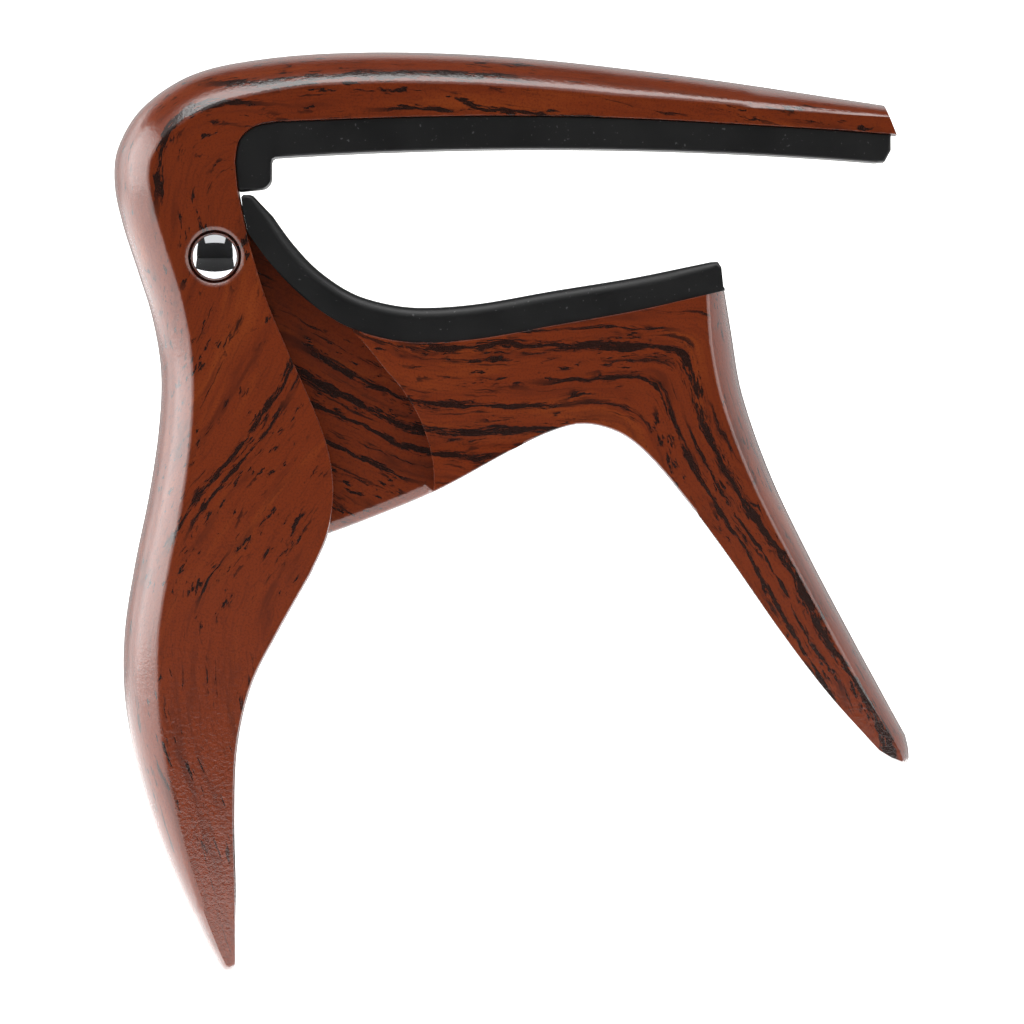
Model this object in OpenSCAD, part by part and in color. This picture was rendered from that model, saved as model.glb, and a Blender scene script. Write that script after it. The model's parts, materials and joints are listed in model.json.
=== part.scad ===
// Trigger guitar capo: two crowned castings on one pivot post, closed by a torsion spring.
// Row frame: X runs along the jaw away from the pivot, Z is up, Y is the pivot's direction.
// The origin is the apex of the string pad's working face, halfway across the capo.

/* [Castings] */
// Width of both castings across the cheeks
body_w = 16; // [14:0.5:20]
// Reach of the fixed jaw from the pivot to its tip
jaw_reach = 66.8; // [56:0.1:82]
// Drop of the rear handle's tip below the pivot
rear_drop = 70.1; // [58:0.1:84]
// Drop of the front handle's tip below the pivot
front_drop = 49.9; // [42:0.1:60]
// Wall of each cheek beside the hinge
cheek_t = 2.5; // [2.1:0.1:3]
// Wall behind the channel in the rear handle
back_wall = 3; // [2.5:0.1:3.6]
// Width that each side of the jaw loses towards its tip
jaw_taper = 2; // [0:0.1:3]
// Width that each side of a handle loses towards its tip
handle_taper = 2.4; // [0:0.1:3]

/* [Hinge] */
// Travel of the lever from its stop to full opening, in degrees
open_angle = 24.5; // [18:0.5:28]
// Radius of the pivot post's shank
post_r = 1.75; // [1.4:0.05:2.1]
// Radius of the domed heads on the post and the screw
head_r = 2.38; // [2.2:0.02:2.9]
// Thickness of the domed heads at their rim
head_rim = 0.35; // [0.2:0.05:0.5]
// Height of the dome above the rim
dome_h = 0.8; // [0.5:0.05:1]
// Radius of the screw's threaded shank
screw_r = 0.95; // [0.8:0.05:1.1]
// Across flats of the screw's hexagon socket
hex_af = 1.5; // [1.2:0.1:2]
// Thickness of the thrust washers beside the tongue
washer_t = 0.3; // [0.2:0.05:0.5]
// Radius of the thrust washers
washer_r = 3.3; // [2.8:0.1:3.6]
// Radial clearance of the tongue's ears on the post
run_gap = 0.05; // [0.03:0.01:0.08]

/* [Spring] */
// Diameter of the spring wire
wire_d = 1.3; // [1.1:0.05:1.55]
// Length of the leg that lies in the rear handle's channel
rear_leg = 15; // [11:0.5:16]
// Length of the leg that pushes the lever
front_leg = 13; // [10:0.5:14]

/* [Pads] */
// Thickness of the string pad at its apex
string_pad_t = 3.2; // [2.4:0.1:4]
// Radius of the string pad's working face, as a fretboard has
fretboard_r = 406; // [240:1:510]
// Thickness of the neck pad at its saddle
neck_pad_t = 3.4; // [2.6:0.1:4.2]
// Thickness of the neck pad at its free end
neck_pad_end_t = 3; // [2.4:0.1:3.8]
// Width of the rib that holds each pad in its casting
rib_w = 4; // [3:0.5:5]
// Depth of that rib
rib_h = 1; // [0.6:0.1:1.3]
// How far each pad's side stands in from its casting's side
pad_inset = 0.25; // [0.1:0.05:0.6]

/* [Hidden] */
$fn = 72;
step = 0.8;         // length of one flat of a curved outline
slack = 0.05;       // gap between faces that meet at a stop or slide past each other
swing_gap = 0.35;   // gap between the tongue and the channel's floor at full opening
far = 60;           // well outside the part

// Widths across the hinge, from the outside in
cheek_gap = body_w - 2 * cheek_t;
tongue_w = cheek_gap - 2 * (washer_t + slack);
wire_r = wire_d / 2;
coil_pitch = wire_d + 0.04;
coil_r = post_r + 0.25 + wire_r;       // mean radius of the coil
coil_clear_r = coil_r + wire_r + 0.15; // space for the coil between the ears
rear_leg_dir = 97;                     // direction from the rear leg's end up to the coil
front_leg_dir = -60;                   // direction from the coil to the front leg's end
coil_turn = (rear_leg_dir - front_leg_dir) + 3 * 360;
coil_len = coil_pitch * coil_turn / 360;
slot_w = coil_len + wire_d + 0.2;      // slot between the tongue's ears

// The hinge zone keeps its size when the jaw or a handle is made longer.
zone_x = 14;
zone_z = 28;
nominal_reach = 66.8;
nominal_rear = 70.1;
nominal_front = 49.9;
function reach(x) = x <= zone_x ? x
    : zone_x + (x - zone_x) * (jaw_reach - zone_x) / (nominal_reach - zone_x);
function drop(z, tip, nominal) = z >= -zone_z ? z
    : -zone_z + (z + zone_z) * (tip - zone_z) / (nominal - zone_z);
function rear(points) = [for (p = points) [reach(p.x), drop(p.y, rear_drop, nominal_rear)]];
function front(points) = [for (p = points) [reach(p.x), drop(p.y, front_drop, nominal_front)]];

// A smooth curve through the given knots, as flats of about one step
function tangent(k, i) = (k[min(i + 1, len(k) - 1)] - k[max(i - 1, 0)])
    / (norm(k[min(i + 1, len(k) - 1)] - k[i]) + norm(k[i] - k[max(i - 1, 0)]));
function hermite(a, b, ta, tb, t) =
    a * (2 * t * t * t - 3 * t * t + 1) + b * (3 * t * t - 2 * t * t * t)
    + (ta * (t * t * t - 2 * t * t + t) + tb * (t * t * t - t * t)) * norm(b - a);
function curve(k) = concat(
    [for (i = [0 : len(k) - 2])
        let (n = max(1, ceil(norm(k[i + 1] - k[i]) / step)))
        for (j = [0 : n - 1]) hermite(k[i], k[i + 1], tangent(k, i), tangent(k, i + 1), j / n)],
    [k[len(k) - 1]]);
function reversed(p) = [for (i = [len(p) - 1 : -1 : 0]) p[i]];
function left_of(p, i) = let (d = p[min(i + 1, len(p) - 1)] - p[max(i - 1, 0)])
    [-d.y, d.x] / norm(d);
// A curve moved sideways to its left, from distance d0 at its start to d1 at its end
function shifted(p, d0, d1) = [for (i = [0 : len(p) - 1])
    p[i] + left_of(p, i) * (d0 + (d1 - d0) * i / (len(p) - 1))];
// Points turned about the pivot the way the lever opens, or back again for a negative angle
function turned(p, a) = [for (q = p) [q.x * cos(a) + q.y * sin(a), q.y * cos(a) - q.x * sin(a)]];
function arc(c, r, a0, a1, n = 6) = [for (i = [0 : n]) c + r * [cos(a0 + (a1 - a0) * i / n),
    sin(a0 + (a1 - a0) * i / n)]];

// Rear casting, outlines about the pivot
back_line = curve(rear([
    [65.6, 14.9], [58, 16.05], [51, 17.1], [44.3, 18], [33.4, 19.25], [24, 19.95], [14, 20.1],
    [5, 19.5], [-2.2, 17.95], [-7.2, 14.65], [-9.6, 10.65], [-9.9, 7.1], [-9.1, 3.2], [-7.6, -1.45],
    [-6.2, -5.95], [-5.35, -11.2], [-5.55, -16.7], [-6.5, -23.2], [-7.9, -30.1], [-8.9, -36.6],
    [-8.95, -42.6], [-8, -48.6], [-6.1, -55.4], [-3.5, -62], [-0.4, -68.3]]));
rear_tip = rear([[0.3, -69.5], [0.75, -70], [1.2, -70.1], [1.7, -70.05], [1.95, -69.6]]);
finger_line = curve(rear([
    [2, -69], [1.95, -62], [1.8, -55], [2.1, -48], [3.5, -42], [6.2, -36.6], [9.3, -31.1]]));
cheek_line = curve([
    [9.3, -31.1], [11, -27.2], [11.6, -23.4], [11.3, -19.8], [10.3, -16.4], [8.7, -12.6], [7.2, -9.3],
    [5.1, -4.3], [3.7, 0.2], [2.9, 3.4], [2.3, 6.4], [2, 9.2]]);
corner_line = curve([[2, 9.2], [2.4, 11.4], [3.9, 12.75], [6.2, 13.2]]);
underside_line = curve(rear([
    [6.2, 13.2], [12.2, 13.45], [20, 13.7], [28, 13.8], [36, 13.7], [44, 13.4], [52, 12.95],
    [59.5, 12.5], [66.8, 11.95]]));
rear_outline = concat(back_line, rear_tip, finger_line, cheek_line, corner_line, underside_line);

// Channel between the cheeks: floor, seat of the hinge, and the stop that the tongue closes on
stop_x = -2.6;
channel_top = 6.7;
channel_end = -56;
hinge_clear_r = 4.95;
floor_line = curve(rear([[-4.55, -2.2], [-3.2, -5.95], [-2.35, -11.2], [-2.55, -16.7], [-3.5, -23.2],
    [-4.9, -30.1], [-5.9, -36.6], [-5.95, -42.6], [-5, -48.6], [-3.3, -54]]));
channel_floor = [for (p = floor_line) p + [back_wall - 3, 0]];
channel_outline = concat(
    [[stop_x, channel_top], [stop_x, 4.2]],
    arc([0, 0], hinge_clear_r, 122, 202, 8),
    channel_floor,
    [[-1.6, drop(channel_end, rear_drop, nominal_rear)], [far, drop(channel_end, rear_drop, nominal_rear)],
     [far, channel_top]]);

// Front casting, outlines about the pivot
seat_line = curve(front([
    [0.9, 5.75], [2.85, 2.9], [5.4, -0.6], [8.3, -3.65], [12.2, -6.45], [16.2, -7.9], [20.1, -8.4],
    [26, -8], [33.8, -6.6], [41.6, -5.2], [49.95, -3.3]]));
front_line = curve(front([
    [49.95, -3.3], [50.6, -7.3], [51.65, -13.3], [54.4, -21.2], [58.1, -29], [62.2, -36.8],
    [66.1, -44], [67.7, -46.9]]));
front_tip = front([[68, -48.2], [68.05, -49.1], [67.8, -49.75], [67.3, -49.9], [66.1, -49.3],
    [65, -48.4], [64.3, -47.5]]);
grip_line = curve(front([
    [64.3, -47.5], [60.1, -42.8], [55.6, -36.9], [50.1, -29], [46, -23.5], [42.4, -19.3],
    [39.6, -17.2], [36.2, -16.35], [33.2, -17], [29.5, -18.7], [21.7, -22.9], [14.2, -26],
    [9.8, -27.6]]));
// The tongue's back follows the channel's floor as it lies at full opening.
tongue_back = turned([for (p = reversed(channel_floor)) if (p.y > -zone_z && p.y < -2.5)
    p + [swing_gap, 0]], -open_angle);
boss_r = 4.5;
horn_back = arc([0, 0], boss_r, 225, 130, 10);
horn_x = stop_x + slack;
front_outline = concat(reversed(seat_line), [[horn_x, 5.75], [horn_x, 3.7]], reversed(horn_back),
    reversed(tongue_back), reversed(grip_line), reversed(front_tip), reversed(front_line));
// The full width of the lever starts where the cheeks' edge comes to at full opening, a little
// further out towards the pad so that only the lower stretch of the step is the stop.
pad_corner_r = 14;
step_relief = 0.9;
function smooth(u) = let (v = min(1, max(0, u))) v * v * (3 - 2 * v);
edge_at_opening = turned([for (p = cheek_line) if (p.y < 7) p + [slack, 0]], -open_angle);
step_line = [for (p = edge_at_opening) if (norm(p) > pad_corner_r)
    p + [step_relief * smooth((21 - norm(p)) / 7), 0]];
step_top = step_line[len(step_line) - 1];
recess_outline = concat(step_line, [[step_top.x, far], [-far, far], [-far, -far],
    step_line[0] + [-6, -far]]);
slot_reach = front_leg + 2.5;
slot_edge = coil_clear_r * [cos(front_leg_dir + 90), sin(front_leg_dir + 90)];
slot_corner = slot_edge + slot_reach * [cos(front_leg_dir), sin(front_leg_dir)];
slot_outline = [slot_edge, slot_corner, slot_corner + [-2.4, -7], [-far / 2, slot_corner.y - 7],
    [-far / 2, 0], [0, 0]];

// Pads
apex_x = 31.9;
underside_z = lookup(apex_x, [for (p = underside_line) [p.x, p.y]]);
face_z = underside_z - string_pad_t;
lip_x = 5.5;
lip_z = 6.45;
pad_end_x = reach(66.2);
function face_at(x) = face_z - fretboard_r + sqrt(pow(fretboard_r, 2) - pow(x - apex_x, 2));
string_face = [for (i = [0 : 60]) let (x = lip_x + 0.4 + i * (pad_end_x - lip_x - 1.9) / 60)
    [x, face_at(x)]];
string_pad_outline = concat(
    [for (p = cheek_line) if (p.y > lip_z) p], corner_line,
    [for (p = underside_line) if (p.x < pad_end_x - 0.2) p],
    [[pad_end_x, underside_line[len(underside_line) - 1].y + 0.06], [pad_end_x, face_at(pad_end_x) + 1.3],
     [pad_end_x - 0.6, face_at(pad_end_x) + 0.2]],
    reversed(string_face),
    [[lip_x + 0.1, face_at(lip_x) - 0.15], [lip_x, face_at(lip_x) - 0.5]],
    arc([lip_x - 1.1, lip_z + 1.3], 1.1, 0, -80, 5),
    [[2.35, lip_z]]);
// The neck pad has its full width right up to the cheeks' edge, which it clears all the way open.
pad_gap = 0.12;
pad_edge = [for (p = cheek_line) if (p.y > 2.7 && p.y < 5.6) p + [pad_gap, 0]];
pad_line = [for (p = seat_line) if (p.x > pad_edge[0].x) p];
pad_swing_outline = concat([for (p = edge_at_opening) p + [pad_gap - slack, 0]],
    [[-far, far], [-far, -far], edge_at_opening[0] + [-6, -far]]);
neck_count = len(pad_line) - 1;
// Thinner where the pad is steep, full at the saddle and thinner again at its free end
function neck_t(s) = neck_pad_t * (0.86 + 0.14 * smooth((s - 0.12) / 0.3))
    - (neck_pad_t - neck_pad_end_t) * pow(max(0, s - 0.42) / 0.58, 2);
neck_face = [for (i = [0 : neck_count - 1])
    pad_line[i] + left_of(pad_line, i) * neck_t(i / neck_count)];
horn_z = 6.05;
horn = [[2.6, horn_z - 0.2], [2.8, horn_z], [3.45, horn_z], [3.8, horn_z - 0.12]];
neck_end = pad_line[neck_count] + [-0.15, 0.1];
neck_pad_outline = concat(reversed(pad_line), pad_edge, horn,
    [for (p = neck_face) if (p.y < horn_z - 0.35 && p.x < neck_end.x - 0.9) p],
    [[neck_end.x - 0.55, neck_end.y + neck_pad_end_t * 0.9],
     [neck_end.x - 0.2, neck_end.y + neck_pad_end_t * 0.72], neck_end + [0, 0.25], neck_end + [0.12, 0.1]]);
string_rib_x = [12, reach(58)];
neck_rib_x = [15, reach(46)];

// A slab of an outline drawn in X and Z, from y0 to y1
module slab(outline, y0, y1)
    translate([0, y1, 0]) rotate([90, 0, 0]) linear_extrude(y1 - y0) polygon(outline);

// A solid turned about the pivot axis, from y0 to y1
module post(r, y0, y1)
    translate([0, y1, 0]) rotate([90, 0, 0]) cylinder(r = r, h = y1 - y0);

// Cuts that narrow a part towards a tip: along X above z_from, or along -Z beyond x_from
module jaw_side_cuts(inset)
    for (side = [-1, 1])
        translate([0, 0, channel_top]) linear_extrude(far) scale([1, side]) polygon([
            [6, body_w / 2 - inset], [jaw_reach + 2, body_w / 2 - inset - jaw_taper],
            [jaw_reach + 2, far], [6, far]]);

module handle_side_cuts(x_from, z_from, z_to)
    for (side = [-1, 1])
        translate([x_from, 0, 0]) rotate([90, 0, 90]) linear_extrude(2 * far) scale([side, 1]) polygon([
            [body_w / 2, z_from], [body_w / 2 - handle_taper, z_to - 1], [body_w, z_to - 1],
            [body_w, z_from]]);

// A rib that follows a line from x0 to x1, sunk rib_h into the casting on the line's far side
module rib(line, x_range, depth, w)
    let (part = [for (p = line) if (p.x > x_range[0] && p.x < x_range[1]) p])
        slab(concat([for (p = part) p - [0, sign(depth) * 0.5]],
            reversed([for (p = part) p + [0, depth]])), -w / 2, w / 2);

// Countersunk seat for a domed head, open towards the outside at y = 0, running along +Y
head_depth = head_rim + dome_h + 0.1;
seat_r = head_r + 0.27;
module head_seat() {
    rotate([-90, 0, 0]) cylinder(r = seat_r, h = head_depth);
    translate([0, -0.2, 0]) rotate([-90, 0, 0]) cylinder(r1 = seat_r + 0.4, r2 = seat_r, h = 0.4);
}

// Fixed jaw, cheeks and rear handle in one casting
module rear_handle() color([0.45, 0.2, 0.1]) difference() {
    slab(rear_outline, -body_w / 2, body_w / 2);
    slab(channel_outline, -cheek_gap / 2, cheek_gap / 2);
    jaw_side_cuts(0);
    handle_side_cuts(-far, -zone_z + 1, -rear_drop);
    post(post_r, -body_w, body_w);
    translate([0, -body_w / 2, 0]) head_seat();
    translate([0, body_w / 2, 0]) rotate([0, 0, 180]) head_seat();
    rib(underside_line, string_rib_x + [-0.1, 0.1], rib_h + 0.1, rib_w + 0.1);
}

// Moving jaw, tongue and front handle in one casting
module front_lever() color([0.45, 0.2, 0.1]) difference() {
    slab(front_outline, -body_w / 2, body_w / 2);
    for (side = [-1, 1])
        slab(recess_outline, side > 0 ? tongue_w / 2 : -far, side > 0 ? far : -tongue_w / 2);
    handle_side_cuts(reach(38), -18, -front_drop);
    post(post_r + run_gap, -body_w, body_w);
    post(coil_clear_r, -slot_w / 2, slot_w / 2);
    slab(slot_outline, -slot_w / 2, slot_w / 2);
    rib(seat_line, neck_rib_x + [-0.1, 0.1], -rib_h - 0.1, rib_w + 0.1);
}

// Rubber pad that presses the strings, with the lip that guards the hinge
module string_pad() color([0.12, 0.12, 0.13]) {
    difference() {
        slab(string_pad_outline, -body_w / 2 + pad_inset, body_w / 2 - pad_inset);
        jaw_side_cuts(pad_inset);
    }
    rib(underside_line, string_rib_x, rib_h, rib_w);
}

// Rubber pad on the moving jaw
module neck_pad() color([0.12, 0.12, 0.13]) {
    difference() {
        slab(neck_pad_outline, -body_w / 2 + pad_inset, body_w / 2 - pad_inset);
        slab(pad_swing_outline, tongue_w / 2, far);
        slab(pad_swing_outline, -far, -tongue_w / 2);
    }
    rib(seat_line, neck_rib_x, -rib_h, rib_w);
}

// Domed head with its rim on the plane y = 0 and its crown towards -Y
module domed_head() {
    dome_r = (pow(head_r, 2) + pow(dome_h, 2)) / (2 * dome_h);
    rotate([90, 0, 0]) {
        cylinder(r = head_r, h = head_rim);
        translate([0, 0, head_rim]) intersection() {
            cylinder(r = head_r, h = dome_h + 1);
            translate([0, 0, dome_h - dome_r]) sphere(r = dome_r, $fn = 96);
        }
    }
}

seat_y = body_w / 2 - head_depth;
thread_gap = 0.05;
// Hollow post with the front head
module pivot_post() color([0.85, 0.85, 0.87]) difference() {
    union() {
        translate([0, -seat_y, 0]) domed_head();
        post(post_r, -seat_y, seat_y - 0.2);
    }
    post(screw_r + thread_gap, 0, body_w);
}

// Screw that closes the post from the rear, with a hexagon socket
module pivot_screw() color([0.85, 0.85, 0.87]) difference() {
    union() {
        translate([0, seat_y, 0]) rotate([0, 0, 180]) domed_head();
        post(screw_r, 1, seat_y);
    }
    translate([0, body_w / 2 - head_depth + 0.3, 0]) rotate([-90, 0, 0])
        cylinder(r = hex_af / sqrt(3), h = body_w, $fn = 6);
}

module thrust_washer(y0) color([0.9, 0.9, 0.86]) difference() {
    post(washer_r, y0, y0 + washer_t);
    post(post_r + run_gap, -body_w, body_w);
}
module front_washer() thrust_washer(-cheek_gap / 2);
module rear_washer() thrust_washer(cheek_gap / 2 - washer_t);

// Torsion spring: straight rear leg, coil about the post, straight front leg
coil_rings = 84;
rear_start = coil_r * [cos(rear_leg_dir + 90), sin(rear_leg_dir + 90)];
front_start = coil_r * [cos(front_leg_dir + 90), sin(front_leg_dir + 90)];
function coil_at(t) = let (a = rear_leg_dir + 90 - coil_turn * t)
    [coil_r * cos(a), coil_len * (t - 0.5), coil_r * sin(a)];
spring_path = concat(
    [for (t = [1, 0.5, 0.06]) [rear_start.x - rear_leg * t * cos(rear_leg_dir), -coil_len / 2,
        rear_start.y - rear_leg * t * sin(rear_leg_dir)]],
    [for (i = [0 : coil_rings]) coil_at(i / coil_rings)],
    [for (t = [0.06, 0.5, 1]) [front_start.x + front_leg * t * cos(front_leg_dir), coil_len / 2,
        front_start.y + front_leg * t * sin(front_leg_dir)]]);
wire_sides = 10;
// A round wire swept along a path, its rings kept square to it
module wire(path, r) {
    n = len(path);
    function along(i) = let (d = path[min(i + 1, n - 1)] - path[max(i - 1, 0)]) d / norm(d);
    function side(i) = let (s = cross(along(i), [0, 1, 0])) s / norm(s);
    rings = [for (i = [0 : n - 1], k = [0 : wire_sides - 1]) let (a = 360 * k / wire_sides)
        path[i] + r * (side(i) * cos(a) + cross(side(i), along(i)) * sin(a))];
    faces = concat(
        [[for (k = [0 : wire_sides - 1]) k]],
        [for (i = [0 : n - 2], k = [0 : wire_sides - 1]) let (m = (k + 1) % wire_sides)
            [i * wire_sides + k, (i + 1) * wire_sides + k, (i + 1) * wire_sides + m, i * wire_sides + m]],
        [[for (k = [wire_sides - 1 : -1 : 0]) (n - 1) * wire_sides + k]]);
    polyhedron(rings, faces);
}
module torsion_spring() color([0.6, 0.6, 0.62]) wire(spring_path, wire_r);

// Moves the pivot's own frame so that the pad's apex is the origin
module placed() translate([-apex_x, 0, -face_z]) children();

placed() rear_handle();
placed() front_lever();
placed() string_pad();
placed() neck_pad();
placed() pivot_post();
placed() pivot_screw();
placed() front_washer();
placed() rear_washer();
placed() torsion_spring();
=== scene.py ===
import json
import math

import bmesh
import bpy
from bpy.props import FloatProperty, FloatVectorProperty, IntProperty, PointerProperty, StringProperty
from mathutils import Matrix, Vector
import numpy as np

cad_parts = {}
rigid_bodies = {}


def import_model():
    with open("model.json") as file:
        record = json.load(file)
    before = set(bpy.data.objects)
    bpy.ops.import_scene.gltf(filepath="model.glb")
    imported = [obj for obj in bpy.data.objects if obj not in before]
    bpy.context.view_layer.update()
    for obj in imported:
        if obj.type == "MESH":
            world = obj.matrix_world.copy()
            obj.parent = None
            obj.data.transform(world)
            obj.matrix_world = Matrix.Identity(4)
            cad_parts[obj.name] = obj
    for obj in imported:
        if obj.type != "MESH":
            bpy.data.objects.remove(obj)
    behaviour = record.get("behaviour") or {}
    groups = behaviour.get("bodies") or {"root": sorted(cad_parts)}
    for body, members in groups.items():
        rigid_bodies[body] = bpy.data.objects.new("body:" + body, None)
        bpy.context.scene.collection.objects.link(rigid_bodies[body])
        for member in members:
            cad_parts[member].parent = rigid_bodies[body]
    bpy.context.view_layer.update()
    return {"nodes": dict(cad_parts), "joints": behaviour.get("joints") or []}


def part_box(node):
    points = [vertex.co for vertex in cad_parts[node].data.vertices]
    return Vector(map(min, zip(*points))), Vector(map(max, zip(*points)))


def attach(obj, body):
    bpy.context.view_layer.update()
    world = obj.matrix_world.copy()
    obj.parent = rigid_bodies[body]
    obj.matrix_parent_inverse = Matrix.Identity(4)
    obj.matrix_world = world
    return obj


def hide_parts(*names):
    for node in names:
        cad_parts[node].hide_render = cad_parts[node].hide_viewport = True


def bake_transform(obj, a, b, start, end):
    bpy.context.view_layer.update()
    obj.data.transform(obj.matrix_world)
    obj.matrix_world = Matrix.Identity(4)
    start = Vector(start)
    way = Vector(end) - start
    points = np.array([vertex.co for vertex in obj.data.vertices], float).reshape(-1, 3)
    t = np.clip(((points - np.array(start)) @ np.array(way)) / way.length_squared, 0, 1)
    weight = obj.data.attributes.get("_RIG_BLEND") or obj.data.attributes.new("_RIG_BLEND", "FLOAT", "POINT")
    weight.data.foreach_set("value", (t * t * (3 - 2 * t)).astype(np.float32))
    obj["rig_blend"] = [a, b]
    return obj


bl_info = {
    "name": "Trigger guitar capo",
    "version": (1, 0, 0),
    "blender": (4, 5, 0),
    "location": "View3D > Sidebar > Capo",
    "description": "Dresses the capo's castings, pads, pivot and spring, and builds the studio around it",
    "category": "Object",
}

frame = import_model()
MM = 0.001
DOWN = Vector((0, 0, -1))
PIVOT = Vector(frame["joints"][0]["pos_m"])
FIXED, MOVING = frame["joints"][0]["parent"], frame["joints"][0]["child"]
HALF_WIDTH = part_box("rear_handle")[1].y         # from the middle to a flank
HALF_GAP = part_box("rear_washer")[1].y           # from the middle to a cheek's inner face
WASHER_GAP = 0.05 * MM                          # between the tongue and a washer
HALF_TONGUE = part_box("rear_washer")[0].y - WASHER_GAP
# The open lever's tip swings about 3 mm below the rear handle, and the floor is clear of it.
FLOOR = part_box("rear_handle")[0].z - 3.5 * MM


def from_pivot(point):
    """A point's X and Z from the pivot, in millimetres."""
    return (point.x - PIVOT.x) / MM, (point.z - PIVOT.z) / MM


def linear(hex_colour, alpha=1.0):
    """An sRGB hex colour as linear RGBA."""
    parts = [int(hex_colour[i:i + 2], 16) / 255 for i in (1, 3, 5)]
    return [c / 12.92 if c <= 0.04045 else ((c + 0.055) / 1.055) ** 2.4 for c in parts] + [alpha]


def between(value, knots):
    """Straight-line interpolation through a list of (value, result) knots."""
    if value <= knots[0][0]:
        return knots[0][1]
    for (a, low), (b, high) in zip(knots, knots[1:]):
        if value <= b:
            return low + (high - low) * (value - a) / (b - a)
    return knots[-1][1]


# Settings

class CastingSettings(bpy.types.PropertyGroup):
    """Shape and finish of the two castings."""
    fullness: FloatProperty(
        name="Crown fullness", description="How far round an ellipse the crown runs before its crease",
        default=0.9, min=0.5, max=0.97, subtype="FACTOR")
    lever_fullness: FloatProperty(
        name="Lever crown fullness", description="The same for the lever, whose crown is softer",
        default=0.8, min=0.5, max=0.97, subtype="FACTOR")
    crown_cuts: IntProperty(
        name="Crown cuts", description="Rows of points across a crown", default=15, min=7, max=47)
    crease: FloatProperty(
        name="Crease round", description="Width of the rounding where a crown meets a flank",
        default=0.34 * MM, unit="LENGTH")
    edge: FloatProperty(
        name="Edge round", description="Width of the rounding on the other edges", default=0.2 * MM,
        unit="LENGTH")
    ease: FloatProperty(
        name="Taper easing", description="Half the length over which a flank turns into its taper",
        default=6 * MM, unit="LENGTH")
    tongue_edge: FloatProperty(
        name="Tongue round", description="Width of the rounding under the tongue", default=1.25 * MM,
        unit="LENGTH")
    wood: StringProperty(
        name="Wood", description="Main colour of the printed wood, sRGB hex", default="#6A280B")
    wood_light: StringProperty(
        name="Light wood", description="Its lightest figure, sRGB hex", default="#7D3611")
    wood_dark: StringProperty(
        name="Dark wood", description="Its darker figure, sRGB hex", default="#491907")
    # The streak colour also paints the shade in the rear casting's band inside its crease.
    streak_and_shade: StringProperty(
        name="Streaks", description="Colour of the dark streaks, sRGB hex", default="#0E0402")
    peel: FloatProperty(
        name="Orange peel", description="Size of the clear coat's ripples", default=0.42 * MM, unit="LENGTH")


class PadSettings(bpy.types.PropertyGroup):
    """Shape and finish of the silicone pads."""
    neck_round: FloatProperty(
        name="Neck pad round", description="Rounding along the neck pad's long edges", default=1.15 * MM,
        unit="LENGTH")
    string_round: FloatProperty(
        name="String pad round", description="Rounding along the string pad's edges", default=0.22 * MM,
        unit="LENGTH")
    pad_cuts: IntProperty(
        name="Pad cuts", description="Rows of points across a pad", default=23, min=7, max=47)
    colour: StringProperty(
        name="Colour", description="Colour of the silicone, sRGB hex", default="#060607")


class MetalSettings(bpy.types.PropertyGroup):
    """Finish of the pivot, the washers and the spring."""
    chrome: StringProperty(
        name="Chrome", description="Colour of the chrome, sRGB hex", default="#E9EAEC")
    steel: StringProperty(
        name="Spring steel", description="Colour of the spring wire, sRGB hex", default="#8D8D90")
    nylon: StringProperty(
        name="Nylon", description="Colour of the washers, sRGB hex", default="#DEDACB")
    turns: IntProperty(
        name="Steps round", description="Steps round the post", default=96, min=24, max=192)


class StageSettings(bpy.types.PropertyGroup):
    """Camera, sweep and lights."""
    distance: FloatProperty(
        name="Distance", description="From the camera to the capo's near flank", default=2.6, unit="LENGTH")
    view_width: FloatProperty(
        name="View width", description="Width of the view at the near flank", default=0.1002, unit="LENGTH")
    aim: FloatVectorProperty(
        name="Aim", description="Middle of the view, from the pivot", size=2, default=(0.0291, -0.0250),
        unit="LENGTH")
    sweep_radius: FloatProperty(
        name="Sweep radius", description="Radius of the flat floor", default=4.5, unit="LENGTH")
    paper: StringProperty(
        name="Paper", description="Colour of the floor's paper, sRGB hex", default="#F4F4F3")


# Modelling helpers

def placed(name, data):
    """A new object in the scene that shows the data."""
    made = bpy.data.objects.new(name, data)
    bpy.context.scene.collection.objects.link(made)
    return made


def activate(piece):
    """Makes a piece the only selected object."""
    if bpy.context.mode != "OBJECT":
        bpy.ops.object.mode_set(mode="OBJECT")
    bpy.ops.object.select_all(action="DESELECT")
    piece.select_set(True)
    bpy.context.view_layer.objects.active = piece


def merged_copy(node, name):
    """A copy of a CAD node with its triangles merged into flat faces, open in edit mode."""
    piece = placed(name, frame["nodes"][node].data.copy())
    piece.data.materials.clear()
    activate(piece)
    bpy.ops.mesh.customdata_custom_splitnormals_clear()
    bpy.ops.object.mode_set(mode="EDIT")
    bpy.ops.mesh.select_all(action="SELECT")
    bpy.ops.mesh.remove_doubles(threshold=0.002 * MM)
    bpy.ops.mesh.dissolve_limited(angle_limit=math.radians(0.2))
    # A point left in the middle of an edge would stay behind when the outline beside it moves.
    bpy.ops.mesh.select_mode(type="VERT")
    bpy.ops.mesh.select_all(action="DESELECT")
    shape = bmesh.from_edit_mesh(piece.data)
    for vertex in shape.verts:
        vertex.select_set(len(vertex.link_edges) == 2)
    bmesh.update_edit_mesh(piece.data)
    bpy.ops.mesh.dissolve_verts()
    return piece


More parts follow.
